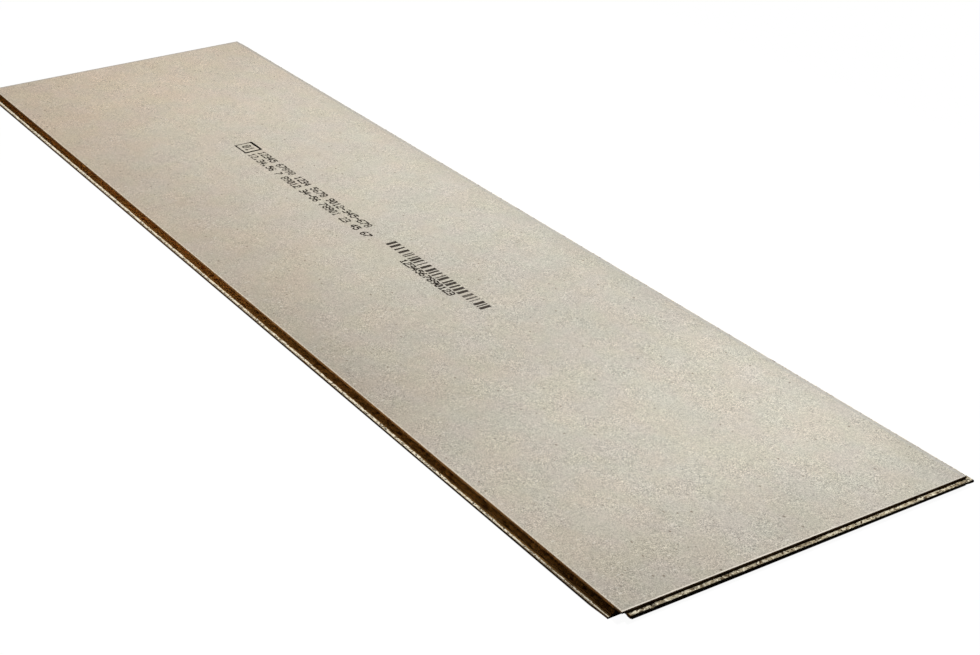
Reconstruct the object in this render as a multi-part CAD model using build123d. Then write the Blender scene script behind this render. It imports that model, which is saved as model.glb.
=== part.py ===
from build123d import *
import os

# A chipboard floor panel with an interlocking edge milled on all four sides.
# The long sides run along X and the short sides along Y.
# The +X and +Y sides carry the tongue, the -X and -Y sides the groove and its long lower lip.
# The origin is on the underside, in the middle of the panel's overall length and width.

os.makedirs("parts", exist_ok=True)

# The board
face_length = 2400.0
face_width = 600.0
board_thickness = 15.0
face_arris = 0.4

# The tongue, on the +X and +Y sides
tongue_face_depth = 4.9
tongue_thickness = 4.6
tongue_reach = 8.0
tongue_nose_bevel = 0.8

# The lower lip and the groove above it, on the -X and -Y sides
lip_reach = 13.0
lip_thickness = 3.1
lip_bevel = 0.5
land_reach = 4.5
land_slope_run = 0.6
groove_mouth_bevel = 0.4

# The play between two panels that are locked together
groove_play = 0.1
groove_end_gap = 0.5
rebate_end_gap = 1.5

# How far each cutter runs past the board
cutter_overrun = 6.0

# Levels above the underside that both edges share
tongue_top = board_thickness - tongue_face_depth
tongue_bottom = tongue_top - tongue_thickness
groove_top = tongue_top + groove_play
land_top = tongue_bottom - groove_play

# Depths behind the face's edge that follow from the mating edge
groove_depth = tongue_reach + groove_end_gap
rebate_depth = lip_reach + rebate_end_gap

# The face's middle stands off the origin, because the lip reaches further than the tongue
face_offset = (lip_reach - tongue_reach) / 2
above_board = board_thickness + cutter_overrun
below_board = -cutter_overrun


def blank():
    """The board as pressed and sawn, large enough for the lips and the tongues."""
    overall_length = face_length + lip_reach + tongue_reach
    overall_width = face_width + lip_reach + tongue_reach
    return Box(
        overall_length,
        overall_width,
        board_thickness,
        align=(Align.CENTER, Align.CENTER, Align.MIN),
    )


def cutter(outline, travel):
    """A milling cutter's path: an outline of (outward, height) points, drawn along Y through zero."""
    profile = Plane.XZ * make_face(Polyline(*outline, close=True))
    return extrude(profile, amount=travel / 2, both=True)


def tongue_cutters(travel):
    """What is milled away above and below a tongue that points along +X from x = 0."""
    outside = tongue_reach + cutter_overrun
    above = [
        (-face_arris, board_thickness),
        (0, board_thickness - face_arris),
        (0, tongue_top),
        (tongue_reach - tongue_nose_bevel, tongue_top),
        (tongue_reach, tongue_top - tongue_nose_bevel),
        (outside, tongue_top - tongue_nose_bevel),
        (outside, above_board),
        (-face_arris, above_board),
    ]
    below = [
        (-rebate_depth, below_board),
        (-rebate_depth, tongue_bottom),
        (tongue_reach - tongue_nose_bevel, tongue_bottom),
        (tongue_reach, tongue_bottom + tongue_nose_bevel),
        (outside, tongue_bottom + tongue_nose_bevel),
        (outside, below_board),
    ]
    return [cutter(above, travel), cutter(below, travel)]


def groove_cutters(travel):
    """What is milled away over a lip that points along +X from x = 0, with the groove behind it."""
    outside = lip_reach + cutter_overrun
    over_lip_and_groove = [
        (-face_arris, board_thickness),
        (0, board_thickness - face_arris),
        (0, groove_top + groove_mouth_bevel),
        (-groove_mouth_bevel, groove_top),
        (-groove_depth, groove_top),
        (-groove_depth, land_top),
        (land_reach, land_top),
        (land_reach + land_slope_run, lip_thickness),
        (lip_reach - lip_bevel, lip_thickness),
        (lip_reach, lip_thickness - lip_bevel),
        (outside, lip_thickness - lip_bevel),
        (outside, above_board),
        (-face_arris, above_board),
    ]
    return [cutter(over_lip_and_groove, travel)]


def on_side(cutters, turn, reach_from_middle):
    """Cutters turned about Z to face a side, and set at that side of the face."""
    place = Pos(face_offset, face_offset, 0) * Rot(0, 0, turn) * Pos(reach_from_middle, 0, 0)
    return [place * one for one in cutters]


def floor_panel():
    """The board with its four edges milled, each pass running the whole way along its side."""
    along_length = face_length + 2 * (lip_reach + tongue_reach + cutter_overrun)
    along_width = face_width + 2 * (lip_reach + tongue_reach + cutter_overrun)
    half_length = face_length / 2
    half_width = face_width / 2
    passes = [
        *on_side(tongue_cutters(along_width), 0, half_length),
        *on_side(tongue_cutters(along_length), 90, half_width),
        *on_side(groove_cutters(along_width), 180, half_length),
        *on_side(groove_cutters(along_length), 270, half_width),
    ]
    panel = blank()
    for one in passes:
        panel = panel - one
    return panel


export_step(floor_panel(), "parts/floor_panel.step")
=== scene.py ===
"""Looks of a chipboard floor panel: sanded faces, milled tongue and groove edges, and plain ink marks.

Everything is in metres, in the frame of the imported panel: +X along the length, +Y across the width, +Z up.
"""

import functools
import logging
import math
import operator
import random
from dataclasses import dataclass
from enum import Enum
from typing import Iterable, Mapping, NamedTuple, Optional, Sequence, Union

import bmesh
import bpy
from mathutils import Matrix, Vector, noise
from mathutils.bvhtree import BVHTree


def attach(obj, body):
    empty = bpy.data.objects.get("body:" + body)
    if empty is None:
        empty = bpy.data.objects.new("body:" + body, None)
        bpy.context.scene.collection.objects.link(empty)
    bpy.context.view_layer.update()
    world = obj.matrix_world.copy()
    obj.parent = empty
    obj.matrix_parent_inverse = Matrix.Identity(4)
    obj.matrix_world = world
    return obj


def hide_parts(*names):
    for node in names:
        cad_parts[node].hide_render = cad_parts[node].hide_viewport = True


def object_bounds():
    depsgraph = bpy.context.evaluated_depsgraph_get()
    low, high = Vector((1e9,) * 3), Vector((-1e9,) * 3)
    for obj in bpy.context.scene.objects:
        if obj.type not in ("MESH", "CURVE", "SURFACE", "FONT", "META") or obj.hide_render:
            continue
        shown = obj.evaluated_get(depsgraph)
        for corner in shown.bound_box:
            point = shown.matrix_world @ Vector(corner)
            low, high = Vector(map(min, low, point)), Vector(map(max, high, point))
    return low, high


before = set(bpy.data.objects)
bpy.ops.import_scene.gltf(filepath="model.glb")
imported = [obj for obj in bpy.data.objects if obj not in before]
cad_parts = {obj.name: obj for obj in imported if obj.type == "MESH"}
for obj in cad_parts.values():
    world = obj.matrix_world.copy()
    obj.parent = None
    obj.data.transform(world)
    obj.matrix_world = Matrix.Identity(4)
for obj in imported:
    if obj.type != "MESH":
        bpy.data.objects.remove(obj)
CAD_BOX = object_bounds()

BODY = "root"
NODE = "floor_panel"
BOARD_SLOT = "chipboard"
INK_SLOT = "print_ink"

MM = 0.001
SAME_PLACE = 0.01 * MM
WELD = 0.001 * MM

Colour = tuple[float, float, float]
Place = tuple[float, float, float]
Range = tuple[float, float]

ORIGIN: Place = (0.0, 0.0, 0.0)
EVEN: Place = (1.0, 1.0, 1.0)
OPAQUE = 1.0

log = logging.getLogger("floor_panel_looks")


class Finish(Enum):
    """Which finish a face of the panel takes. The value is its material slot on the mesh."""

    SANDED = 0
    MILLED_WALL = 1
    MILLED_LEDGE = 2


class Edge(Enum):
    """The panel's four sides. The value is the axis across the side and the way it faces."""

    TONGUE_END = (0, 1)
    TONGUE_LONG = (1, 1)
    GROOVE_END = (0, -1)
    GROOVE_LONG = (1, -1)


class Ease(NamedTuple):
    """A smooth change of a value from low to high, while a measure goes from start to end."""

    start: float
    end: float
    low: float = 0.0
    high: float = 1.0


class Clouds(NamedTuple):
    """The look of soft noise: its fineness and detail, and how it is stretched, turned and shifted."""

    fineness: float = 1.0
    detail: float = 2.0
    roughness: float = 0.5
    stretch: Place = EVEN
    turn: float = 0.0
    shift: Place = ORIGIN


class Chips(NamedTuple):
    """The look of pressed chips: how many lie in a metre each way, their turn, and how far they are bent."""

    density: Place
    turn: float = 0.0
    bend_scale: float = 0.8
    bend: float = 0.9
    shift: Place = ORIGIN


class Specks(NamedTuple):
    """Sparse specks: the chips they are picked from, their sizes, their soft rim and how well they cover."""

    chips: Chips
    sizes: Ease
    rim: float
    cover: float


class Field:
    """One socket of a shader graph, which takes part in ordinary Python sums."""

    def __init__(self, graph: "Graph", socket: bpy.types.NodeSocket) -> None:
        """Keeps the socket and the graph that it belongs to."""
        self.graph = graph
        self.socket = socket

    def _math(self, operation: str, first: "Value", second: "Value") -> "Field":
        """Adds one Math node to self's graph and gives its result."""
        return self.graph.node("ShaderNodeMath", {"operation": operation}, {0: first, 1: second})

    def __add__(self, other: "Value") -> "Field":
        """Gives self + other."""
        return self._math("ADD", self, other)

    def __radd__(self, other: "Value") -> "Field":
        """Gives other + self."""
        return self._math("ADD", other, self)

    def __sub__(self, other: "Value") -> "Field":
        """Gives self - other."""
        return self._math("SUBTRACT", self, other)

    def __rsub__(self, other: "Value") -> "Field":
        """Gives other - self."""
        return self._math("SUBTRACT", other, self)

    def __mul__(self, other: "Value") -> "Field":
        """Gives self * other."""
        return self._math("MULTIPLY", self, other)

    def __rmul__(self, other: "Value") -> "Field":
        """Gives other * self."""
        return self._math("MULTIPLY", other, self)

    def __gt__(self, other: "Value") -> "Field":
        """Gives 1 where self is greater than other, and 0 elsewhere."""
        return self._math("GREATER_THAN", self, other)

    def output(self, name: str) -> "Field":
        """Gives another output of the node that this one comes from."""
        return Field(self.graph, self.socket.node.outputs[name])

    def swing(self, amount: float) -> "Field":
        """Turns a number between 0 and 1 into one that swings around 0 by that amount in all."""
        return (self - 0.5) * amount

    def ramp(self, start: float, end: float, low: float = 0.0, high: float = 1.0) -> "Field":
        """Eases from one value to another while self goes from start to end.

        Args:
            start: Where the change starts.
            end: Where it ends.
            low: The result up to the start.
            high: The result from the end on.

        Returns:
            The eased value.
        """
        values = {"Value": self, "From Min": start, "From Max": end, "To Min": low, "To Max": high}
        return self.graph.node("ShaderNodeMapRange", {"interpolation_type": "SMOOTHSTEP"}, values)

    def through(self, *eases: Ease) -> "Field":
        """Gives the product of several ramps of self."""
        return functools.reduce(operator.mul, (self.ramp(*ease) for ease in eases))


Value = Union[Field, float, Sequence[float]]
Owner = Union[bpy.types.Material, bpy.types.World]


def grey(level: float) -> tuple[float, float, float, float]:
    """Gives an opaque grey."""
    return (level, level, level, OPAQUE)


class Graph:
    """The node graph of one material or of the world."""

    def __init__(self, owner: Owner) -> None:
        """Empties the graph of its owner.

        Args:
            owner: The material or the world.
        """
        owner.use_nodes = True
        self.owner = owner
        self.tree = owner.node_tree
        self.tree.nodes.clear()

    @classmethod
    def of_material(cls, name: str) -> "Graph":
        """Starts the graph of a new material."""
        return cls(bpy.data.materials.new(name))

    def add(
        self, kind: str, settings: Mapping[str, object], inputs: Mapping[Union[str, int], Value]
    ) -> bpy.types.Node:
        """Adds a node.

        Args:
            kind: The node's type.
            settings: Its own settings, which are set before anything else.
            inputs: A value or a field for each of its sockets, by name or by number.

        Returns:
            The node.
        """
        made = self.tree.nodes.new(kind)
        for name, value in settings.items():
            setattr(made, name, value)
        for name, value in inputs.items():
            if isinstance(value, Field):
                self.tree.links.new(value.socket, made.inputs[name])
            else:
                made.inputs[name].default_value = value
        return made

    def node(
        self,
        kind: str,
        settings: Optional[Mapping[str, object]] = None,
        inputs: Optional[Mapping[Union[str, int], Value]] = None,
        output: Union[str, int] = 0,
    ) -> Field:
        """Adds a node and gives one of its outputs.

        Args:
            kind: The node's type.
            settings: Its own settings.
            inputs: A value or a field for each of its sockets.
            output: Which output to give.

        Returns:
            That output.
        """
        return Field(self, self.add(kind, settings or {}, inputs or {}).outputs[output])

    def place(self, stretch: Place = EVEN, turn: float = 0.0, shift: Place = ORIGIN) -> Field:
        """Gives the point being shaded, in the panel's frame.

        Args:
            stretch: How many units a metre counts along each axis.
            turn: A turn about Z first, in degrees.
            shift: How far the result is moved.

        Returns:
            The point.
        """
        point = self.node("ShaderNodeTexCoord", output="Object")
        rotation = (0.0, 0.0, math.radians(turn))
        values = {"Vector": point, "Rotation": rotation, "Scale": stretch, "Location": shift}
        return self.node("ShaderNodeMapping", inputs=values)

    def axes(self) -> tuple[Field, Field, Field]:
        """Gives the shaded point's places along the board, across it and above its underside."""
        along = self.node("ShaderNodeSeparateXYZ", inputs={0: self.place()}, output="X")
        return along, along.output("Y"), along.output("Z")

    def clouds(self, look: Clouds) -> Field:
        """Gives soft noise between 0 and 1.

        Args:
            look: The look of the noise.

        Returns:
            The noise at the shaded point.
        """
        values = {"Vector": self.place(look.stretch, look.turn, look.shift), "Scale": look.fineness}
        values.update({"Detail": look.detail, "Roughness": look.roughness})
        return self.node("ShaderNodeTexNoise", inputs=values)

    def chips(self, look: Chips, feature: str = "F1") -> Field:
        """Gives the distances of a pattern of chips, whose place is bent so that no edge is straight.

        Args:
            look: The look of the chips.
            feature: Which distance the pattern gives: to a chip's middle, or to its edge.

        Returns:
            The distance output, whose node also has the chips' random colours.
        """
        point = self.place(look.density, look.turn, look.shift)
        values = {"Vector": point, "Scale": look.bend_scale}
        drift = self.node("ShaderNodeTexNoise", inputs=values, output="Color")
        amounts = {0: drift, 1: (look.bend,) * 3, 2: point}
        bent = self.node("ShaderNodeVectorMath", {"operation": "MULTIPLY_ADD"}, amounts)
        values = {"Vector": bent, "Scale": 1.0}
        return self.node("ShaderNodeTexVoronoi", {"feature": feature}, values, "Distance")

    def chance(self, chips: Field) -> Field:
        """Gives one random number between 0 and 1 for each chip."""
        return self.node("ShaderNodeSeparateColor", inputs={0: chips.output("Color")})

    def specks(self, look: Specks) -> Field:
        """Gives 1 on sparse specks and 0 between them."""
        chips = self.chips(look.chips)
        return (self.chance(chips).ramp(*look.sizes) - chips).ramp(0.0, look.rim)

    def blend(self, factor: Value, first: Value, second: Value, mode: str = "MIX") -> Field:
        """Mixes two colours.

        Args:
            factor: How much of the second colour there is.
            first: The first colour.
            second: The second colour.
            mode: How they are mixed.

        Returns:
            The mixed colour.
        """
        factor_socket, first_socket, second_socket, result = 0, 6, 7, 2
        values = {factor_socket: factor}
        values[first_socket] = first if isinstance(first, Field) else (*first, OPAQUE)
        values[second_socket] = second if isinstance(second, Field) else (*second, OPAQUE)
        return self.node("ShaderNodeMix", {"data_type": "RGBA", "blend_type": mode}, values, result)

    def graded(self, tone: Field, colours: Sequence[Colour], steps: Sequence[Ease]) -> Field:
        """Goes through a row of colours while a tone goes through a row of eases.

        Args:
            tone: The tone.
            colours: The colours, the darkest first.
            steps: The ease from each colour to the next.

        Returns:
            The colour.
        """
        colour = colours[0]
        for step, paler in zip(steps, colours[1:]):
            colour = self.blend(tone.ramp(*step), colour, paler)
        return colour

    def mixed_shader(self, factor: Field, first: Field, second: Field) -> Field:
        """Mixes two shaders."""
        return self.node("ShaderNodeMixShader", inputs={0: factor, 1: first, 2: second})

    def larger(self, first: Value, second: Value) -> Field:
        """Gives the larger of two numbers."""
        return self.node("ShaderNodeMath", {"operation": "MAXIMUM"}, {0: first, 1: second})

    def smaller(self, first: Value, second: Value) -> Field:
        """Gives the smaller of two numbers."""
        return self.node("ShaderNodeMath", {"operation": "MINIMUM"}, {0: first, 1: second})

    def toned(self, colour: Value, tone: Field) -> Field:
        """Makes a colour darker or paler by a number around 1."""
        return self.blend(1.0, colour, tone, "MULTIPLY")

    def relief(self, height: Field, depth: float, strength: float) -> Field:
        """Gives the bumped normal of a height between 0 and 1 that stands for a depth in metres."""
        values = {"Height": height, "Distance": depth, "Strength": strength}
        return self.node("ShaderNodeBump", inputs=values)

    def finish(self, inputs: Mapping[str, Value]) -> Owner:
        """Ends the graph in a Principled shader with those values and fields, and gives the material."""
        return self.surface(self.node("ShaderNodeBsdfPrincipled", inputs=inputs))

    def surface(self, shader: Field) -> Owner:
        """Sends a shader to the surface output.

        Args:
            shader: The shader.

        Returns:
            The finished material or world.
        """
        is_world = isinstance(self.owner, bpy.types.World)
        kind = "ShaderNodeOutputWorld" if is_world else "ShaderNodeOutputMaterial"
        self.add(kind, {}, {"Surface": shader})
        return self.owner


@dataclass(frozen=True)
class SandedFace:
    """The sanded outer faces: fine pale dust and chips pressed flat, with a few darker bark flecks."""

    cool: Colour = (0.554, 0.521, 0.451)
    warm: Colour = (0.560, 0.476, 0.379)
    far_warmth: Ease = Ease(-1.4, -0.5, 0.6, 0.0)
    near_warmth: Ease = Ease(-0.6, 0.8, 0.36, 0.0)
    side_warmth: Ease = Ease(-0.32, 0.2, 0.28, -0.12)
    drift: Clouds = Clouds(2.6, 3.0)
    drift_warmth: float = 0.5
    drift_tone: float = 0.08

    pinkish: Colour = (1.018, 0.992, 0.985)
    greenish: Colour = (0.990, 1.005, 0.974)
    hues: Clouds = Clouds(1.0, 4.0, 0.65, (13.0, 19.0, 16.0))
    chalky: Colour = (0.992, 1.000, 1.018)
    straw_tint: Colour = (1.008, 1.000, 0.981)
    tints: Clouds = Clouds(1.0, 3.0, 0.6, (11.0, 14.0, 12.0), 40.0, (8.0, 3.0, 0.0))
    tint_change: Ease = Ease(0.36, 0.64)

    patches: Clouds = Clouds(9.0, 5.0, 0.62)
    patch_tone: float = 0.18
    mottle: Clouds = Clouds(55.0, 4.0, 0.7, shift=(3.0, 1.0, 0.0))
    mottle_tone: float = 0.10
    coarse: Chips = Chips((190.0, 260.0, 240.0), 24.0, 0.7, 1.1)
    coarse_tone: float = 0.06
    medium: Chips = Chips((440.0, 340.0, 400.0), -37.0, 0.8, 0.9)
    medium_tone: float = 0.16
    dust: Clouds = Clouds(640.0, 2.0, 0.8)
    dust_tone: float = 2.4
    calm: Clouds = Clouds(1.0, 3.0, 0.6, (17.0, 23.0, 20.0), 15.0, (4.0, 9.0, 0.0))
    busier: Ease = Ease(0.34, 0.66, 0.66, 1.32)
    far_grain: Ease = Ease(-1.1, -0.6, 1.05, 0.82)
    near_grain: Ease = Ease(-0.5, 0.5, 1.0, 1.28)

    # Painted light and shade: the face's brightness along and across it, as the light falls over it.
    tones_along: tuple[Ease, ...] = (
        Ease(-1.15, -0.1, 1.13, 1.0),
        Ease(-0.2, 0.35, 1.0, 0.93),
        Ease(0.5, 0.85, 1.0, 1.13),
        Ease(0.98, 1.2, 1.0, 0.88),
    )
    tones_across: tuple[Ease, ...] = (Ease(-0.30, -0.03, 0.92, 1.03), Ease(0.1, 0.3, 1.0, 0.97))
    dark_patch_across: Ease = Ease(-0.30, -0.20, 0.07, 0.0)
    dark_patch_start: Ease = Ease(-0.1, 0.2)
    dark_patch_end: Ease = Ease(0.55, 0.7, 1.0, 0.0)
    far_shade_depth: Ease = Ease(0.25, 0.30, 0.0, 0.09)
    far_shade_start: Ease = Ease(-1.1, -0.4)

    bark: Colour = (0.16, 0.115, 0.08)
    straw: Colour = (0.78, 0.74, 0.66)
    flecks: Specks = Specks(
        Chips((130.0, 190.0, 160.0), 51.0, 0.9, 0.6), Ease(0.955, 1.0, 0.0, 0.40),
        0.10, 0.64,
    )
    pores: Specks = Specks(
        Chips((310.0, 420.0, 400.0), 12.0, 0.9, 0.7, (2.0, 7.0, 0.0)), Ease(0.90, 1.0, 0.0, 0.5),
        0.15, 0.38,
    )
    slivers: Specks = Specks(
        Chips((260.0, 120.0, 180.0), -18.0, 0.9, 0.6, (5.0, 2.0, 0.0)), Ease(0.84, 1.0, 0.0, 0.46),
        0.12, 0.45,
    )

    frays: Clouds = Clouds(160.0, 3.0)
    fray_depth: float = 0.0025
    # Painted highlight, partly scraped wear, along the two near rims; a grey strip along the two far rims.
    rim_highlight: Colour = (0.90, 0.83, 0.72)
    rim_highlight_reach: Range = (0.0015, 0.00275)
    rim_highlight_end: Ease = Ease(0.0, 0.25, 0.95, 0.3)
    rim_highlight_side: float = 0.5
    far_rim_grey: Colour = (0.43, 0.415, 0.39)
    far_rim_reach: Range = (0.0045, 0.0075)
    far_rim_cover: float = 0.55

    dust_height: float = 0.5
    chip_height: float = 0.5
    relief_depth: float = 0.00012
    relief_strength: float = 0.6
    roughness: Ease = Ease(0.2, 0.8, 0.72, 0.9)
    gloss: float = 0.3

    def painted_light_bands(self, along: Field, across: Field) -> Field:
        """Gives broad paler and darker bands over the face: painted light and shade with some of the board's
        own tone, brighter towards the far long side and changing along the board, with a darker patch near
        the near long side and painted shade along the far long side.

        Args:
            along: The place along the board.
            across: The place across it.

        Returns:
            A tone around 1.
        """
        painted_light_bands = along.through(*self.tones_along) * across.through(*self.tones_across)
        dark_patch = across.ramp(*self.dark_patch_across) * along.ramp(*self.dark_patch_start)
        dark_patch = dark_patch * along.ramp(*self.dark_patch_end)
        far_shade = across.ramp(*self.far_shade_depth) * along.ramp(*self.far_shade_start)
        return painted_light_bands - dark_patch - far_shade

    def ground(self, g: Graph, along: Field, across: Field, drift: Field) -> Field:
        """Gives the board's broad colour, before its grain.

        Args:
            g: The graph.
            along: The place along the board.
            across: The place across it.
            drift: A slow noise.

        Returns:
            The colour.
        """
        warmth = along.ramp(*self.far_warmth) + along.ramp(*self.near_warmth)
        warmth = warmth + across.ramp(*self.side_warmth) + drift.swing(self.drift_warmth)
        colour = g.blend(warmth.ramp(0.0, 1.0), self.cool, self.warm)
        hues = g.clouds(self.hues).ramp(*self.tint_change)
        colour = g.toned(colour, g.blend(hues, self.pinkish, self.greenish))
        tints = g.clouds(self.tints).ramp(*self.tint_change)
        return g.toned(colour, g.blend(tints, self.chalky, self.straw_tint))

    def near_highlight_far_grey(
        self, g: Graph, colour: Field, places: tuple[Field, Field], low: Vector, high: Vector
    ) -> Field:
        """Paints a pale highlight, partly scraped wear, along the two near rims of the face, and greys the
        two far ones.

        Args:
            g: The graph.
            colour: The colour so far.
            places: The places along and across the board.
            low: The face's corner between the two groove sides.
            high: The face's corner between the two tongue sides.

        Returns:
            The colour with its rims.
        """
        along, across = places
        frays = g.clouds(self.frays).swing(self.fray_depth)
        # Painted highlight, partly scraped wear, on the two near rims.
        end = (high.x - along + frays).ramp(*self.rim_highlight_reach, 1.0, 0.0) * across.ramp(*self.rim_highlight_end)
        side = (across - low.y + frays).ramp(*self.rim_highlight_reach, self.rim_highlight_side, 0.0)
        colour = g.blend(g.larger(end, side), colour, self.rim_highlight)
        # A grey strip along the two far rims.
        far_gap = g.smaller(along - low.x, high.y - across) + frays
        far_rim_grey = far_gap.ramp(*self.far_rim_reach, 1.0, 0.0)
        return g.blend(far_rim_grey * self.far_rim_cover, colour, self.far_rim_grey)

    def material(self, low: Vector, high: Vector) -> bpy.types.Material:
        """Builds the material.

        Args:
            low: The face's corner between the two groove sides.
            high: The face's corner between the two tongue sides.

        Returns:
            The material.
        """
        g = Graph.of_material("sanded_chipboard")
        along, across, _ = g.axes()
        drift, mottle, dust = g.clouds(self.drift), g.clouds(self.mottle), g.clouds(self.dust)
        coarse, medium = g.chips(self.coarse), g.chips(self.medium)
        busy = g.clouds(self.calm).ramp(*self.busier)
        grain = g.chance(coarse).swing(self.coarse_tone) + g.chance(medium).swing(self.medium_tone)
        grain = grain + dust.swing(self.dust_tone)
        grain = grain * busy * along.ramp(*self.far_grain) * along.ramp(*self.near_grain)
        tone = 1.0 + g.clouds(self.patches).swing(self.patch_tone) + mottle.swing(self.mottle_tone)
        tone = tone + drift.swing(self.drift_tone) + grain
        colour = self.ground(g, along, across, drift)
        # Painted light and shade bands over the face.
        colour = g.toned(colour, tone * self.painted_light_bands(along, across))

        colour = g.blend(g.specks(self.flecks) * self.flecks.cover, colour, self.bark)
        for specks, tint in ((self.pores, self.bark), (self.slivers, self.straw)):
            colour = g.blend(g.specks(specks) * busy * specks.cover, colour, tint)
        height = dust * self.dust_height + medium * self.chip_height
        return g.finish({
            "Base Color": self.near_highlight_far_grey(g, colour, (along, across), low, high),
            "Roughness": mottle.ramp(*self.roughness),
            "Specular IOR Level": self.gloss,
            "Normal": g.relief(height, self.relief_depth, self.relief_strength),
        })


@dataclass(frozen=True)
class MilledWall:
    """The upright milled faces: ends of flakes that lie in the board's plane, coarser in its core, drawn
    dark brown as painted shade, while the same board's level faces are pale.
    """

    # Dark browns: painted shade on the upright faces, darker than the same chipboard on the level faces.
    colours: tuple[Colour, ...] = ((0.068, 0.030, 0.008), (0.190, 0.100, 0.034), (0.350, 0.210, 0.085))
    colour_steps: tuple[Ease, ...] = (Ease(0.05, 0.62), Ease(0.68, 1.05))
    flakes: Chips = Chips((95.0, 95.0, 520.0), 0.0, 0.6, 0.8)
    fines: Chips = Chips((330.0, 330.0, 900.0), 0.0, 0.8, 0.6)
    fine_contrast: float = 0.6
    fine_base: float = 0.3
    streaks: Clouds = Clouds(1.0, 3.0, 0.65, (220.0, 220.0, 2400.0))
    flake_part: float = 0.75
    streak_part: float = 0.45
    base: float = 0.1
    core_start: Range = (0.00132, 0.0022)

    hollow: Colour = (0.020, 0.007, 0.001)
    hollow_width: Ease = Ease(0.0, 0.09, 1.0, 0.0)
    hollow_cover: float = 0.55

    # Painted shade and light on the walls: the tongue end's walls and nose darker, the upper part of each
    # wall paler than the lower, the slope and lip faces darker towards the near end.
    end_shade_from: float = -0.016
    end_shade_start: float = 0.5 * MM
    end_shade: float = 0.24
    nose_from: float = 0.0070
    nose_tone: float = 0.35
    upper_tone: Ease = Ease(0.0108, 0.0128, 0.75, 1.2)
    slope_from: float = 0.0040
    slope_tone: Ease = Ease(-0.3, 0.6, 1.15, 0.62)
    lip_face_from: float = 0.0118
    lip_face_tone: Ease = Ease(-0.6, 0.4, 0.42, 0.15)
    change_width: float = 1.0 * MM

    # Sanding dust and painted light: a paler band along the top of the walls, on the upper lip's face, left
    # off the tongue end.
    dust_and_light: Colour = (0.190, 0.135, 0.085)
    dust_and_light_lift: float = 0.3
    dust_and_light_height: Ease = Ease(0.0115, 0.0140)
    dust_and_light_cover: float = 0.5
    spared_end: Ease = Ease(-0.05, 0.15, 0.0, 0.75)

    chip_height: float = 0.5
    gap_height: float = 0.5
    gap_width: float = 0.2
    relief_depth: float = 0.0005
    relief_strength: float = 0.8
    roughness: Ease = Ease(0.2, 0.8, 0.8, 0.95)
    gloss: float = 0.03

    def place_tone(
        self, g: Graph, axes: tuple[Field, Field, Field], at_end: Field, low: Vector, high: Vector
    ) -> Field:
        """Gives painted shade and light around 1 on the walls by their place: darker on the tongue end and
        its nose, paler on the upper part, and on the slope and lip face darker towards the near end.

        Args:
            g: The graph.
            axes: The places along and across the board and above its underside.
            at_end: 1 on the tongue end, and 0 elsewhere.
            low: The sanded face's corner between the two groove sides.
            high: Its corner between the two tongue sides.

        Returns:
            The tone.
        """
        along, across, height = axes
        out = g.larger(low.x - along, low.y - across)
        # Painted shade on the tongue end's walls.
        end_shaded = 1.0 - at_end * (1.0 - self.end_shade)
        nose_at = high.x + self.nose_from
        nose = along.ramp(nose_at - self.change_width, nose_at, 1.0, self.nose_tone)
        upper = height.ramp(*self.upper_tone)
        on_slope = out.ramp(self.slope_from, self.slope_from + self.change_width)
        slope = 1.0 + on_slope * (along.ramp(*self.slope_tone) - 1.0)
        on_lip = out.ramp(self.lip_face_from, self.lip_face_from + self.change_width)
        lip_face = 1.0 + on_lip * (along.ramp(*self.lip_face_tone) - 1.0)
        return end_shaded * nose * upper * slope * lip_face

    def material(self, thickness: float, low: Vector, high: Vector) -> bpy.types.Material:
        """Builds the material.

        Args:
            thickness: The board's thickness.
            low: The sanded face's corner between the two groove sides.
            high: Its corner between the two tongue sides.

        Returns:
            The material.
        """
        g = Graph.of_material("milled_walls_painted_shade")
        along, across, height = g.axes()
        thin, thick = self.core_start
        core = height.ramp(thin, thick) * height.ramp(thickness - thick, thickness - thin, 1.0, 0.0)
        fine_tone = g.chance(g.chips(self.fines)) * self.fine_contrast + self.fine_base
        tones = {0: core, 2: fine_tone, 3: g.chance(g.chips(self.flakes))}
        mixed = g.node("ShaderNodeMix", {"data_type": "FLOAT"}, tones)
        streaks = g.clouds(self.streaks)
        tone = mixed * self.flake_part + streaks * self.streak_part - self.base
        colour = g.graded(tone, self.colours, self.colour_steps)
        gaps = g.chips(self.flakes, "DISTANCE_TO_EDGE")
        hollow = gaps.ramp(*self.hollow_width) * core
        colour = g.blend(hollow * self.hollow_cover, colour, self.hollow)

        # Where the painted shade of the tongue end starts.
        end_shade_at = high.x + self.end_shade_from
        at_end = along.ramp(end_shade_at - self.end_shade_start, end_shade_at)
        colour = g.toned(colour, self.place_tone(g, (along, across, height), at_end, low, high))
        # Sanding dust and painted light on the walls' upper band, left off the tongue end.
        dust_and_light = 1.0 - at_end * across.ramp(*self.spared_end)
        dust_and_light = height.ramp(*self.dust_and_light_height) * self.dust_and_light_cover * dust_and_light
        colour = g.blend(dust_and_light, colour, g.toned(self.dust_and_light, tone + self.dust_and_light_lift))
        bumps = mixed * self.chip_height + gaps.ramp(0.0, self.gap_width) * self.gap_height
        return g.finish({
            "Base Color": colour,
            "Roughness": streaks.ramp(*self.roughness),
            "Specular IOR Level": self.gloss,
            "Normal": g.relief(bumps, self.relief_depth, self.relief_strength),
        })


@dataclass(frozen=True)
class RootShade:
    """Painted shade at the root of the end tongue, and on the level faces behind that line, towards the near
    long side.
    """

    reach: Ease = Ease(0.5 * MM, 2.8 * MM, 1.0, 0.0)
    amount: Ease = Ease(-0.12, 0.02, 0.62, 0.0)

    def tone(self, along: Field, across: Field, high: Vector) -> Field:
        """Gives the painted shade's tone around 1, by the place and the face's tongue corner."""
        return 1.0 - (along - high.x).ramp(*self.reach) * across.ramp(*self.amount)


class Spot(NamedTuple):
    """A shaded point on a ledge: its place, how far outside the face it lies, and the tones of its chips."""

    along: Field
    across: Field
    height: Field
    out: Field
    coarse: Field
    small: Field
    tone: Field


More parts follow.
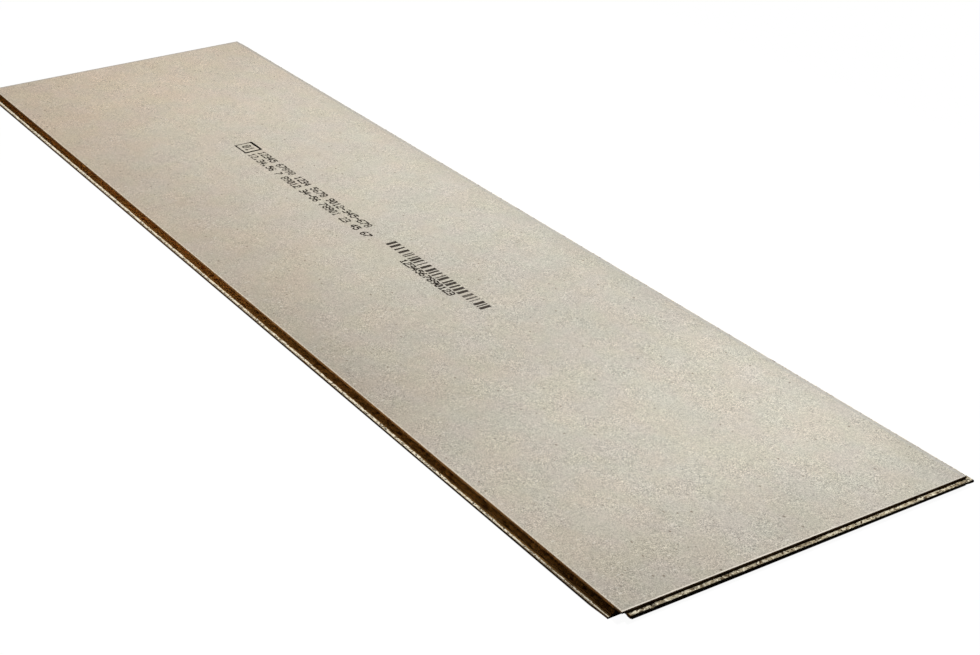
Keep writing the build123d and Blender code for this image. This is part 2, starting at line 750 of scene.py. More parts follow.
@dataclass(frozen=True)
class MilledLedge:
    """The level milled faces: coarse flakes on the tongues, fine pale ones on the lips near the skin."""

    colours: tuple[Colour, ...] = ((0.120, 0.075, 0.035), (0.440, 0.365, 0.235), (0.780, 0.700, 0.520))
    colour_steps: tuple[Ease, ...] = (Ease(0.12, 0.50), Ease(0.42, 0.80))
    coarse: Chips = Chips((125.0, 170.0, 300.0), 31.0, 0.7, 1.1)
    small: Chips = Chips((330.0, 270.0, 300.0), -20.0, 0.8, 0.9)
    fibres: Clouds = Clouds(1.0, 3.0, 0.6, (900.0, 160.0, 500.0), 18.0)
    coarse_part: float = 0.55
    small_part: float = 0.35
    fibre_part: float = 0.25

    gap: Colour = (0.020, 0.010, 0.004)
    seam_width: Ease = Ease(0.0, 0.10, 1.0, 0.0)
    seam_depth: float = 0.45
    lost_chips: float = 0.90
    lost_depth: float = 0.6

    # Painted shade on the end tongue's tip and far corner, and painted light: the level faces brighter
    # towards the far long side.
    tip_start: float = 4.5 * MM
    tip_end: float = 7.5 * MM
    tip_shade: Ease = Ease(-0.1, 0.25, 0.25, 0.62)
    corner_start: Range = (1.15, 1.19)
    corner_shade: Ease = Ease(0.285, 0.303, 0.0, 0.30)
    side_tones: Range = (0.84, 1.22)
    # A paler, greyer colour on the long tongue.
    pale_grey: Colour = (0.800, 0.770, 0.700)
    pale_grey_reach: Ease = Ease(0.5 * MM, 2.5 * MM, 0.0, 0.9)

    skin_body: Colour = (0.760, 0.670, 0.500)
    skin_pale: Colour = (0.930, 0.865, 0.700)
    skin_step: Ease = Ease(0.15, 0.70)
    skin_level: Range = (0.0036, 0.0048)
    # Painted light: the lips' fine skin drawn darker at the near end.
    skin_tone: Ease = Ease(0.85, 1.12, 1.12, 0.75)
    dark_chips: float = 0.95
    dark_cover: float = 0.6

    # Painted shade on the outer rim of the lips' tops, beside their shaded outer faces, a little narrower
    # along the middle of the board.
    lip_rim_shade: Range = (0.0106, 0.0121)
    lip_rim_raggedness: float = 0.5 * MM
    lip_rim_cover: float = 0.85
    spared_width: float = 0.0010
    spared_start: Ease = Ease(0.3, 0.7)
    spared_end: Ease = Ease(0.85, 1.1, 1.0, 0.0)

    # Painted shade: the grooves, the land and the inner lip in the upper lip's shadow drawn brown, with its
    # edge where the shadow ends; its tone varies by depth and along the board as painted light.
    groove_shade_brown: Colour = (0.265, 0.142, 0.040)
    groove_reach: float = -0.0095
    brown_reach: Range = (0.0066, 0.0071)
    far_growth: Ease = Ease(-0.4, 0.3)
    near_growth: Ease = Ease(0.3, 1.1)
    reach_growth: Range = (0.0012, 0.0014)
    coarse_raggedness: float = 1.1 * MM
    small_raggedness: float = 0.7 * MM
    outer_start: float = 3.5 * MM
    outer_end: float = 6.0 * MM
    outer_shade: Ease = Ease(0.2, 0.8, 0.45, 0.65)
    depth_tone: Ease = Ease(-5.0 * MM, 1.5 * MM, 1.25, 2.05)
    brown_tones: tuple[Ease, ...] = (Ease(-0.3, 0.35, 2.3, 1.0), Ease(1.0, 1.17, 1.0, 0.4))
    brown_lift: float = 0.35
    brown_limit: float = 3.6
    end_fade: float = 0.6

    hollow_height: float = 0.6
    relief_depth: float = 0.0005
    relief_strength: float = 0.7
    roughness: Ease = Ease(0.2, 0.8, 0.7, 0.95)
    gloss: float = 0.05

    def tongues(self, g: Graph, colour: Field, spot: Spot, low: Vector, high: Vector) -> Field:
        """Paints shade on the end tongue at its tip, root and far corner, paints every level face brighter
        towards the far long side, and makes the long tongue paler and greyer.

        Args:
            g: The graph.
            colour: The colour so far.
            spot: The shaded point.
            low: The sanded face's corner between the two groove sides.
            high: Its corner between the two tongue sides.

        Returns:
            The colour.
        """
        along, across = spot.along, spot.across
        # Painted shade on the end tongue's tip and corner, and painted light across the board.
        on_tip = along.ramp(high.x + self.tip_start, high.x + self.tip_end)
        tone = 1.0 - on_tip * across.ramp(*self.tip_shade)
        far_corner = 1.0 - across.ramp(*self.corner_shade) * along.ramp(*self.corner_start)
        # Painted shade on the end tongue's tip, root and far corner.
        tone = tone * far_corner * RootShade().tone(along, across, high)
        colour = g.toned(colour, tone * across.ramp(low.y, high.y, *self.side_tones))
        # The long tongue drawn paler and greyer.
        long_tongue = (across - high.y).ramp(*self.pale_grey_reach)
        return g.blend(long_tongue * along.ramp(*self.corner_start, 1.0, 0.0), colour, self.pale_grey)

    def lips(self, g: Graph, colour: Field, spot: Spot) -> Field:
        """Makes the lips pale and fine, as the board is near its skin, darker at the near end as painted
        light, and paints shade on their outer rim.

        Args:
            g: The graph.
            colour: The colour so far.
            spot: The shaded point.

        Returns:
            The colour.
        """
        fine = g.blend(spot.tone.ramp(*self.skin_step), self.skin_body, self.skin_pale)
        fine = g.blend((spot.small > self.dark_chips) * self.dark_cover, fine, self.colours[0])
        fine = g.toned(fine, spot.along.ramp(*self.skin_tone))
        colour = g.blend(spot.height.ramp(*self.skin_level, 1.0, 0.0), colour, fine)
        spared = spot.along.through(self.spared_start, self.spared_end)
        # Painted shade on the lips' outer rim, narrower along the middle of the board.
        rim_shade = spot.out + spot.small.swing(self.lip_rim_raggedness) - spared * self.spared_width
        return g.blend(rim_shade.ramp(*self.lip_rim_shade) * self.lip_rim_cover, colour, self.colours[0])

    def painted_groove_shade(self, g: Graph, colour: Field, spot: Spot, low: Vector) -> Field:
        """Paints the shade in the grooves and on the land and inner lip beside them brown, with its tone
        varying by depth and along the board as painted light.

        Args:
            g: The graph.
            colour: The colour so far.
            spot: The shaded point.
            low: The sanded face's corner between the two groove sides.

        Returns:
            The colour.
        """
        along, out = spot.along, spot.out
        far_growth, near_growth = self.reach_growth
        growth = along.ramp(*self.far_growth) * far_growth + along.ramp(*self.near_growth) * near_growth
        ragged = spot.coarse.swing(self.coarse_raggedness) + spot.small.swing(self.small_raggedness)
        # Painted shade as brown where the upper lip shadows the groove, the land and the inner lip.
        brown = (out > self.groove_reach) * (out - growth + ragged).ramp(*self.brown_reach, 1.0, 0.0)
        outer = 1.0 - out.ramp(self.outer_start, self.outer_end) * along.ramp(*self.outer_shade)
        depth = out.ramp(*self.depth_tone) * outer
        for ease in self.brown_tones:
            depth = depth * along.ramp(*ease)
        tone = g.smaller((spot.tone + self.brown_lift) * depth, self.brown_limit)
        at_end = (low.x - along) > (low.y - spot.across)
        kept = 1.0 - at_end * self.end_fade
        return g.blend(brown * kept, colour, g.toned(self.groove_shade_brown, tone * kept))

    def material(self, low: Vector, high: Vector) -> bpy.types.Material:
        """Builds the material.

        Args:
            low: The sanded face's corner between the two groove sides.
            high: Its corner between the two tongue sides.

        Returns:
            The material.
        """
        g = Graph.of_material("milled_flat_chips")
        along, across, height = g.axes()
        coarse, small = g.chance(g.chips(self.coarse)), g.chance(g.chips(self.small))
        fibres = g.clouds(self.fibres)
        tone = coarse * self.coarse_part + small * self.small_part + fibres * self.fibre_part
        out = g.larger(low.x - along, low.y - across)
        spot = Spot(along, across, height, out, coarse, small, tone)

        seams = g.chips(self.coarse, "DISTANCE_TO_EDGE").ramp(*self.seam_width)
        hollow = seams * self.seam_depth + (small > self.lost_chips) * self.lost_depth
        colour = g.graded(tone, self.colours, self.colour_steps)
        colour = g.blend(hollow.ramp(0.0, 1.0), colour, self.gap)
        colour = self.tongues(g, colour, spot, low, high)
        colour = self.lips(g, colour, spot)
        return g.finish({
            "Base Color": self.painted_groove_shade(g, colour, spot, low),
            "Roughness": fibres.ramp(*self.roughness),
            "Specular IOR Level": self.gloss,
            "Normal": g.relief(tone - hollow * self.hollow_height, self.relief_depth, self.relief_strength),
        })


@dataclass(frozen=True)
class FlakeFaces:
    """The faces of flakes that the cutter has lifted, from dark bark to cream heartwood."""

    colours: tuple[Colour, ...] = ((0.055, 0.032, 0.014), (0.490, 0.405, 0.260), (0.920, 0.840, 0.640))
    colour_steps: tuple[Ease, ...] = (Ease(0.0, 0.45), Ease(0.45, 1.0))
    fibres: Clouds = Clouds(1.0, 3.0, 0.6, (900.0, 300.0, 500.0), 18.0)
    fibre_tone: float = 0.5
    tone_name: str = "flake_tone"
    relief_depth: float = 0.0002
    relief_strength: float = 0.6
    roughness: Ease = Ease(0.2, 0.8, 0.7, 0.95)
    gloss: float = 0.05

    def material(self, high: Vector) -> bpy.types.Material:
        """Builds the material, whose tone follows the mesh's attribute.

        Args:
            high: The sanded face's corner between the two tongue sides.

        Returns:
            The material.
        """
        g = Graph.of_material("lifted_flakes")
        along, across, _ = g.axes()
        tone = g.node("ShaderNodeAttribute", {"attribute_name": self.tone_name}, output="Fac")
        fibres = g.clouds(self.fibres)
        colour = g.graded(tone + fibres.swing(self.fibre_tone), self.colours, self.colour_steps)
        return g.finish({
            # Painted shade at the root of the end tongue.
            "Base Color": g.toned(colour, RootShade().tone(along, across, high)),
            "Roughness": fibres.ramp(*self.roughness),
            "Specular IOR Level": self.gloss,
            "Normal": g.relief(fibres, self.relief_depth, self.relief_strength),
        })


@dataclass(frozen=True)
class FadedInk:
    """Dark grey ink that has sunk into the board and worn off in places."""

    colour: Colour = (0.014, 0.011, 0.008)
    brown: Colour = (0.058, 0.041, 0.026)
    brown_step: Ease = Ease(0.3, 0.7)
    worn: Clouds = Clouds(260.0, 3.0, 0.7)
    worn_cover: float = 0.8
    grain: Clouds = Clouds(1100.0, 2.0, 0.7)
    grain_cover: float = 0.6
    cover: Ease = Ease(-0.15, 0.8, 0.04, 1.0)
    strength: str = "ink_strength"
    roughness: Ease = Ease(0.2, 0.8, 0.6, 0.85)
    gloss: float = 0.3

    def material(self) -> bpy.types.Material:
        """Builds the material, whose cover follows the mesh's strength attribute.

        Returns:
            The material.
        """
        g = Graph.of_material("faded_ink")
        strength = g.node("ShaderNodeAttribute", {"attribute_name": self.strength}, output="Fac")
        worn, grain = g.clouds(self.worn), g.clouds(self.grain)
        cover = strength + worn.swing(self.worn_cover) + grain.swing(self.grain_cover)
        return g.finish({
            "Base Color": g.blend(worn.ramp(*self.brown_step), self.colour, self.brown),
            "Roughness": grain.ramp(*self.roughness),
            "Specular IOR Level": self.gloss,
            "Alpha": cover.ramp(*self.cover),
        })


class Piece:
    """One visible mesh of the panel."""

    def __init__(self, name: str, slot: str, materials: Iterable[bpy.types.Material]) -> None:
        """Makes an empty mesh object.

        Args:
            name: The piece's name.
            slot: The record's material slot that it takes its finish from.
            materials: Its materials, in the order of its slots.
        """
        self.object = bpy.data.objects.new(name, bpy.data.meshes.new(name))
        bpy.context.scene.collection.objects.link(self.object)
        for material in materials:
            self.object.data.materials.append(material)
        self.slot = slot

    def fill(self, shape: bmesh.types.BMesh) -> None:
        """Writes a shape into the mesh and frees it."""
        shape.to_mesh(self.object.data)
        shape.free()

    def mount(self) -> None:
        """Lets the piece ride on the panel's body and reports it."""
        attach(self.object, BODY)
        mesh = self.object.data
        mesh.calc_loop_triangles()
        log.info("%s: %d faces, %d triangles", mesh.name, len(mesh.polygons), len(mesh.loop_triangles))


@dataclass(frozen=True)
class Knock:
    """A place where the board has been knocked: its material is pushed in there."""

    centre: Place
    reach: Place
    push: Place

    def at(self, point: Vector) -> Vector:
        """Gives how far a point is moved.

        Args:
            point: The point.

        Returns:
            The move, which is greatest at the knock's centre.
        """
        away = [(point[i] - self.centre[i]) / self.reach[i] for i in range(3)]
        nearness = max(0.0, 1.0 - sum(part * part for part in away))
        return Vector(self.push) * nearness * nearness


def noise_at(point: Vector, fineness: Place) -> float:
    """Gives noise between -1 and 1 at a point, that fine along each axis."""
    return noise.noise(Vector([point[i] * fineness[i] for i in range(3)]))


@dataclass
class DressedBoard:
    """The whole board, cut finely along its milled edges so that chips and dents are real shapes."""

    border: float = 0.018
    station_pitch: float = 0.003
    station_jitter: float = 0.33
    wall_pitch: float = 0.0014
    ledge_pitch: float = 0.0024
    rim_insets: tuple[float, ...] = (0.0005, 0.0013, 0.0035)
    flat_angle: float = 0.5
    square: float = 0.99
    ledge_square: float = 0.8
    skin_tolerance: float = 0.05 * MM

    arris_drop: float = 0.0006
    arris_reach: float = 0.0016
    arris_cut_share: float = 0.6
    arris_side_share: float = 0.7
    lesser_arris_share: float = 0.3
    arris_wear: float = 0.00008
    arris_grain: float = 0.0002
    lip_round: float = 0.0009
    lip_drop: float = 0.0007
    ink_room: float = 0.00003

    skin: float = 0.0024
    skin_pits: float = 0.2
    pit_depth: float = 0.0010
    pit_noise: Place = (130.0, 130.0, 620.0)
    pit_from: float = 0.18
    pit_span: float = 0.5
    grain_depth: float = 0.00016
    grain_noise: Place = (420.0, 420.0, 900.0)
    chip_depth: float = 0.0011
    chip_noise: float = 75.0
    chip_slices: Range = (7.0, 3.0)
    chip_from: float = 0.32
    chip_span: float = 0.4
    seed: int = 11
    knocks: tuple[Knock, ...] = (
        Knock((1.190, -0.3105, 0.002), (0.045, 0.009, 0.006), (0.0, 0.0024, 0.0)),
        Knock((1.203, -0.2975, 0.0102), (0.030, 0.010, 0.002), (0.0, 0.0, 0.0016)),
        Knock((0.35, -0.3105, 0.003), (0.012, 0.005, 0.003), (0.0, 0.0020, 0.0)),
        Knock((1.2070, -0.252, 0.0101), (0.009, 0.0042, 0.004), (-0.0012, 0.0, -0.0034)),
        Knock((1.2105, 0.090, 0.0101), (0.006, 0.005, 0.004), (-0.0024, 0.0, -0.0012)),
    )

    def __post_init__(self) -> None:
        """Reads the face's rectangle and the board's levels off the CAD node."""
        self.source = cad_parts[NODE]
        points = [vertex.co for vertex in self.source.data.vertices]
        self.top = max(point.z for point in points)
        face = [point for point in points if point.z > self.top - SAME_PLACE]
        self.low = Vector((min(p.x for p in face), min(p.y for p in face)))
        self.high = Vector((max(p.x for p in face), max(p.y for p in face)))
        self.outer_low, self.outer_high = (Vector(corner) for corner in CAD_BOX)
        self.random = random.Random(self.seed)
        self.shape = bmesh.new()

    def face_edge(self, edge: Edge) -> float:
        """Gives the place of a side of the face along the axis across that side."""
        axis, way = edge.value
        return self.high[axis] if way > 0 else self.low[axis]

    def inner(self, edge: Edge) -> float:
        """Gives the place where the border strip of a side starts."""
        return self.face_edge(edge) - edge.value[1] * self.border

    def outer(self, edge: Edge) -> float:
        """Gives the place that the tongue or lip of a side reaches."""
        axis, way = edge.value
        return self.outer_high[axis] if way > 0 else self.outer_low[axis]

    def strip(self, axis: int) -> Range:
        """Gives the places along an axis between its two border strips."""
        start, end = sorted(self.inner(edge) for edge in Edge if edge.value[0] == axis)
        return start, end

    def sanded(self, face: bmesh.types.BMFace) -> bool:
        """Says whether a face is part of the top or the underside.

        Args:
            face: The face.

        Returns:
            Whether it is.
        """
        height = face.calc_center_median().z
        at_skin = height > self.top - self.skin_tolerance or height < self.skin_tolerance
        return abs(face.normal.z) > self.square and at_skin

    def border_faces(self, edge: Edge, sanded: bool) -> list[bmesh.types.BMFace]:
        """Gives the sanded or the milled faces of a side's border strip.

        Args:
            edge: The side.
            sanded: Whether the sanded faces are wanted.

        Returns:
            The faces.
        """
        axis, way = edge.value
        inner = self.inner(edge)
        faces = [face for face in self.shape.faces if (face.calc_center_median()[axis] - inner) * way > 0]
        return [face for face in faces if self.sanded(face) == sanded]

    def cut(self, faces: Iterable[bmesh.types.BMFace], axis: int, place: float) -> list[bmesh.types.BMFace]:
        """Cuts some faces by a plane square to an axis.

        Args:
            faces: The faces.
            axis: The axis.
            place: The plane's place along it.

        Returns:
            The faces on both sides of the cut.
        """
        faces = list(faces)
        edges = {edge for face in faces for edge in face.edges}
        vertices = {vertex for face in faces for vertex in face.verts}
        middle, normal = Vector(ORIGIN), Vector(ORIGIN)
        middle[axis], normal[axis] = place, 1.0
        result = bmesh.ops.bisect_plane(
            self.shape, geom=[*vertices, *edges, *faces], dist=WELD, plane_co=middle, plane_no=normal
        )
        return [item for item in result["geom"] if isinstance(item, bmesh.types.BMFace)]

    def places(self, start: float, end: float, pitch: float) -> list[float]:
        """Gives places at about an even pitch between two ends, each moved a little at random.

        Args:
            start: The first end.
            end: The other end.
            pitch: The pitch.

        Returns:
            The places.
        """
        count = max(1, round((end - start) / pitch))
        step = (end - start) / count
        jitter = self.station_jitter
        return [start + step * (i + self.random.uniform(-jitter, jitter)) for i in range(1, count)]

    def profile_cuts(self, edge: Edge) -> None:
        """Divides one side's border into long narrow faces that follow its profile.

        Args:
            edge: The side.
        """
        axis, way = edge.value
        faces = self.border_faces(edge, sanded=True)
        for inset in self.rim_insets:
            faces = self.cut(faces, axis, self.face_edge(edge) - way * inset)
        ends = sorted((self.inner(edge), self.outer(edge)))
        faces = self.border_faces(edge, sanded=False)
        lip_rim = [] if way > 0 else [self.outer(edge) + self.lip_round]
        for place in (*lip_rim, *self.places(*ends, self.ledge_pitch)):
            faces = self.cut(faces, axis, place)

    def level_cuts(self) -> None:
        """Divides every milled face by height."""
        faces = [face for face in self.shape.faces if not self.sanded(face)]
        arris_level = self.top - self.arris_reach
        arris_cut = arris_level + self.arris_reach * self.arris_cut_share
        for place in (arris_cut, *self.places(0.0, arris_level, self.wall_pitch)):
            faces = self.cut(faces, 2, place)

    def station_cuts(self, axis: int) -> None:
        """Divides the long faces of the two sides that run along an axis into short ones, unevenly.

        Args:
            axis: The axis.
        """
        start, end = self.strip(axis)
        long_edges = [
            edge for edge in self.shape.edges
            if abs(edge.verts[0].co[axis] - edge.verts[1].co[axis]) > end - start - SAME_PLACE
        ]
        count = round((end - start) / self.station_pitch)
        bmesh.ops.subdivide_edges(self.shape, edges=long_edges, cuts=count - 1, use_grid_fill=True)
        drift = self.station_pitch * self.station_jitter
        for vertex in self.shape.verts:
            between = start + SAME_PLACE < vertex.co[axis] < end - SAME_PLACE
            if between and self.in_strip(vertex.co, 1 - axis):
                vertex.co[axis] += self.random.uniform(-drift, drift)

    def in_strip(self, point: Vector, axis: int) -> bool:
        """Says whether a point lies in one of the two border strips across an axis."""
        start, end = self.strip(axis)
        return point[axis] < start + SAME_PLACE or point[axis] > end - SAME_PLACE

    def core_faces(self) -> list[bmesh.types.BMFace]:
        """Finds the two plain faces inside the border strips.

        Returns:
            The faces.
        """
        middle = (self.low + self.high) / 2
        faces = self.shape.faces
        return [face for face in faces if (face.calc_center_median().xy - middle).length < self.border]

    def subdivide(self) -> None:
        """Divides the borders finely and leaves the middle of each sanded face whole."""
        shape = self.shape
        shape.from_mesh(self.source.data)
        bmesh.ops.remove_doubles(shape, verts=shape.verts, dist=WELD)
        flat = math.radians(self.flat_angle)
        bmesh.ops.dissolve_limit(shape, angle_limit=flat, verts=shape.verts, edges=shape.edges)
        for edge in Edge:
            self.cut(shape.faces, edge.value[0], self.inner(edge))
        bmesh.ops.delete(shape, geom=self.core_faces(), context="FACES_ONLY")
        for edge in Edge:
            self.profile_cuts(edge)
        self.level_cuts()
        for axis in (0, 1):
            self.station_cuts(axis)
        rims = [edge for edge in shape.edges if len(edge.link_faces) == 1]
        bmesh.ops.edgeloop_fill(shape, edges=rims)
        bmesh.ops.recalc_face_normals(shape, faces=shape.faces)

    def wear(self, point: Vector, arris: bool) -> float:
        """Gives how far a point of the milled border has been worn or torn inwards.

        Args:
            point: The point.
            arris: Whether it lies between a sanded face and a milled one.

        Returns:
            The depth in metres.
        """
        depth_from_skin = min(point.z, self.top - point.z)
        core = min(1.0, max(0.0, (depth_from_skin - self.skin / 2) / self.skin))
        grain = abs(noise_at(point, self.grain_noise))
        pit = max(0.0, noise_at(point, self.pit_noise) - self.pit_from) / self.pit_span
        pit = self.pit_depth * pit * (self.skin_pits + (1.0 - self.skin_pits) * core)
        depth = self.grain_depth * grain + pit
        if arris:
            upper = point.z > self.top / 2
            fineness = self.chip_noise
            place = Vector((point.x * fineness, point.y * fineness, self.chip_slices[upper]))
            chip = max(0.0, noise.noise(place) - self.chip_from) / self.chip_span
            depth = (self.arris_wear + self.arris_grain * grain) * upper + self.chip_depth * chip * chip
        return depth

    def rounding(self, point: Vector) -> Vector:
        """Gives how far a point near an upper arris is moved, most on the side where the boards are gripped
        most.

        Args:
            point: The point.

        Returns:
            The move.
        """
        move = Vector(ORIGIN)
        depth = max(0.0, 1.0 - (self.top - point.z) / self.arris_reach)
        for edge in Edge:
            axis, way = edge.value
            inset = (self.face_edge(edge) - point[axis]) * way
            drop = self.arris_drop * (1.0 if edge is Edge.GROOVE_LONG else self.lesser_arris_share)
            if -SAME_PLACE < inset < self.arris_reach and depth > self.square:
                move.z -= drop * (1.0 - inset / self.arris_reach) ** 2
            if abs(inset) < SAME_PLACE:
                move[axis] -= way * drop * self.arris_side_share * depth ** 2
        return move

    def lip_wear(self, point: Vector) -> Vector:
        """Gives how far a point of a lip's outer upper edge is rounded down.

        Args:
            point: The point.

        Returns:
            The move.
        """
        outside = min(point.x - self.outer_low.x, point.y - self.outer_low.y)
        nearness = max(0.0, 1.0 - outside / self.lip_round)
        return Vector((0.0, 0.0, -self.lip_drop * nearness if point.z > self.lip_drop * 2 else 0.0))

    def dent(self) -> None:
        """Moves the milled border's points inwards by their wear and by the knocks."""
        self.shape.normal_update()
        moves = []
        for vertex in self.shape.verts:
            flats = [self.sanded(face) for face in vertex.link_faces]
            place = vertex.co + self.rounding(vertex.co)
            if vertex.co.z > self.top - SAME_PLACE:
                place.z -= self.ink_room
            if not all(flats):
                place += self.lip_wear(vertex.co) - vertex.normal * self.wear(vertex.co, any(flats))
                for knock in self.knocks:
                    place += knock.at(vertex.co)
            moves.append((vertex, place))
        for vertex, place in moves:
            vertex.co = place

    def dress(self) -> None:
        """Gives each face its finish."""
        for face in self.shape.faces:
            if self.sanded(face):
                finish = Finish.SANDED
            # Upright milled faces get the dark wall finish and level ones the pale ledge finish: one
            # chipboard in a shaded and a lit copy.
            elif abs(face.normal.z) > self.ledge_square:
                finish = Finish.MILLED_LEDGE
            else:
                finish = Finish.MILLED_WALL
            face.material_index = finish.value

    def build(self) -> Piece:
        """Builds the board over its CAD node.

        Returns:
            The piece.
        """
        finishes = {
            Finish.SANDED: SandedFace().material(self.low, self.high),
            Finish.MILLED_WALL: MilledWall().material(self.top, self.low, self.high),
            Finish.MILLED_LEDGE: MilledLedge().material(self.low, self.high),
        }
        piece = Piece("board", BOARD_SLOT, [finishes[finish] for finish in Finish])
        self.subdivide()
        self.dress()
        self.dent()
        self.ground = BVHTree.FromBMesh(self.shape)
        piece.fill(self.shape)
        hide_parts(NODE)
        piece.mount()
        return piece


@dataclass
class TornFlakes:
    """Small chips with bevelled sides, bedded in the tops of the tongues and lips."""

    board: DressedBoard
    tongue_strip: Range = (0.0008, 0.0074)
    tongue_level: float = 0.0101
    lip_strip: Range = (0.0090, 0.0121)
    lip_level: float = 0.0031
    hover: float = 0.002
    search_depth: float = 0.004
    density: float = 60000.0
    lengths: Range = (0.0025, 0.0105)
    widths: Range = (0.0011, 0.0036)
    heights: Range = (0.00006, 0.00024)
    corners: int = 7
    corner_jitter: float = 0.25
    corner_reach: Range = (0.8, 1.1)
    bedding: float = 0.00008
    bevel: float = 0.82
    tones: tuple[float, ...] = (-0.1, 0.35, 0.7, 1.1)
    tone_shares: tuple[float, ...] = (0.18, 0.22, 0.28, 0.32)
    tone_jitter: float = 0.1
    seed: int = 23

    def __post_init__(self) -> None:
        """Starts the mesh and its faces' tones."""
        self.random = random.Random(self.seed)
        self.shape = bmesh.new()
        self.layer = self.shape.faces.layers.float.new(FlakeFaces.tone_name)

    def ground(self, point: Vector) -> Optional[Vector]:
        """Gives the place on the board right under a point, or nothing where there is none."""
        return self.board.ground.ray_cast(point, Vector((0.0, 0.0, -1.0)), self.search_depth)[0]

    def flake(self, centre: Vector, strip: Range, axis: int) -> None:
        """Adds one flake, unless it would reach past the board.

        Args:
            centre: Its middle, above the board.
            strip: The range of places across the side that it stays in.
            axis: The axis across the side.
        """
        length, width = (self.random.uniform(*sizes) / 2 for sizes in (self.lengths, self.widths))
        turn = Matrix.Rotation(self.random.uniform(0.0, math.pi), 2)
        lift = self.random.uniform(*self.heights)
        rim = []
        for i in range(self.corners):
            jitter = self.random.uniform(-self.corner_jitter, self.corner_jitter)
            angle = math.tau * (i + jitter) / self.corners
            reach = Vector((length * math.cos(angle), width * math.sin(angle)))
            reach *= self.random.uniform(*self.corner_reach)
            reach.rotate(turn)
            place = centre + reach.to_3d()
            place[axis] = min(max(place[axis], strip[0]), strip[1])
            foot = self.ground(place)
            if foot is None:
                return
            rim.append(foot)
        self.raise_flake(rim, lift)

    def raise_flake(self, rim: Sequence[Vector], lift: float) -> None:
        """Builds a flake's flat top and bevelled sides over its outline.

        Args:
            rim: The outline's corners on the board.
            lift: The height of its top over them.
        """
        middle = sum(rim, Vector(ORIGIN)) / self.corners
        low_ring = [self.shape.verts.new(foot - Vector((0.0, 0.0, self.bedding))) for foot in rim]
        tops = [middle + (foot - middle) * self.bevel + Vector((0.0, 0.0, lift)) for foot in rim]
        top_ring = [self.shape.verts.new(top) for top in tops]
        faces = [self.shape.faces.new(top_ring)]
        for i in range(self.corners):
            j = (i + 1) % self.corners
            faces.append(self.shape.faces.new((low_ring[i], low_ring[j], top_ring[j], top_ring[i])))
        tone = self.random.choices(self.tones, self.tone_shares)[0]
        tone += self.random.uniform(-self.tone_jitter, self.tone_jitter)
        for face in faces:
            face[self.layer] = tone

    def strew(self, edge: Edge) -> None:
        """Strews flakes over the tongue or lip of one side.

        Args:
            edge: The side.
        """
        axis, way = edge.value
        near, far = self.tongue_strip if way > 0 else self.lip_strip
        level = self.tongue_level if way > 0 else self.lip_level
        face_edge = self.board.face_edge(edge)
        low, high = sorted((face_edge + way * near, face_edge + way * far))
        start, end = self.board.low[1 - axis], self.board.high[1 - axis]
        for _ in range(round((end - start) * (far - near) * self.density)):
            centre = Vector((0.0, 0.0, level + self.hover))
            centre[axis] = self.random.uniform(low, high)
            centre[1 - axis] = self.random.uniform(start, end)
            if self.ground(centre) is not None:
                self.flake(centre, (low, high), axis)

    def build(self) -> Piece:
        """Builds the flakes as one mesh.

        Returns:
            The piece.
        """
        for edge in Edge:
            self.strew(edge)
        bmesh.ops.recalc_face_normals(self.shape, faces=self.shape.faces)
        piece = Piece("torn_flakes", BOARD_SLOT, [FlakeFaces().material(self.board.high)])
        piece.fill(self.shape)
        piece.mount()
        return piece


class Mark(Enum):
    """The marks that the printer's head draws. The value is seven rows of dots."""

    ZERO = "01110 10001 10011 10101 11001 10001 01110"
    ONE = "00100 01100 00100 00100 00100 00100 01110"
    TWO = "01110 10001 00001 00110 01000 10000 11111"
    THREE = "11110 00001 00001 01110 00001 00001 11110"
    FOUR = "00010 00110 01010 10010 11111 00010 00010"
    FIVE = "11111 10000 11110 00001 00001 10001 01110"
    SIX = "00110 01000 10000 11110 10001 10001 01110"
    SEVEN = "11111 00001 00010 00100 01000 01000 01000"
    EIGHT = "01110 10001 10001 01110 10001 10001 01110"
    NINE = "01110 10001 10001 01111 00001 00010 01100"
    DASH = "00000 00000 00000 11111 00000 00000 00000"
    STOP = "00000 00000 00000 00000 00000 01100 01100"
    BLANK = "00000 00000 00000 00000 00000 00000 00000"

    @classmethod
    def of(cls, character: str) -> "Mark":
        """Gives the mark of a digit, a dash, a stop or a space."""
        return list(cls)["0123456789-. ".index(character)]

    def dots(self) -> list[tuple[int, int]]:
        """Gives where the mark's dots are.

        Returns:
            The column and row of each dot, the rows counted from the bottom.
        """
        rows = self.value.split()
        last = len(rows) - 1
        return [(x, last - y) for y, row in enumerate(rows) for x, dot in enumerate(row) if dot == "1"]


@dataclass(frozen=True)
class PrintedLine:
    """One line of plain digits, which reads along +X."""

    text: str
    start: float
    base: float
    advance: float = 0.01355
    column: float = 0.00230
    row: float = 0.00222


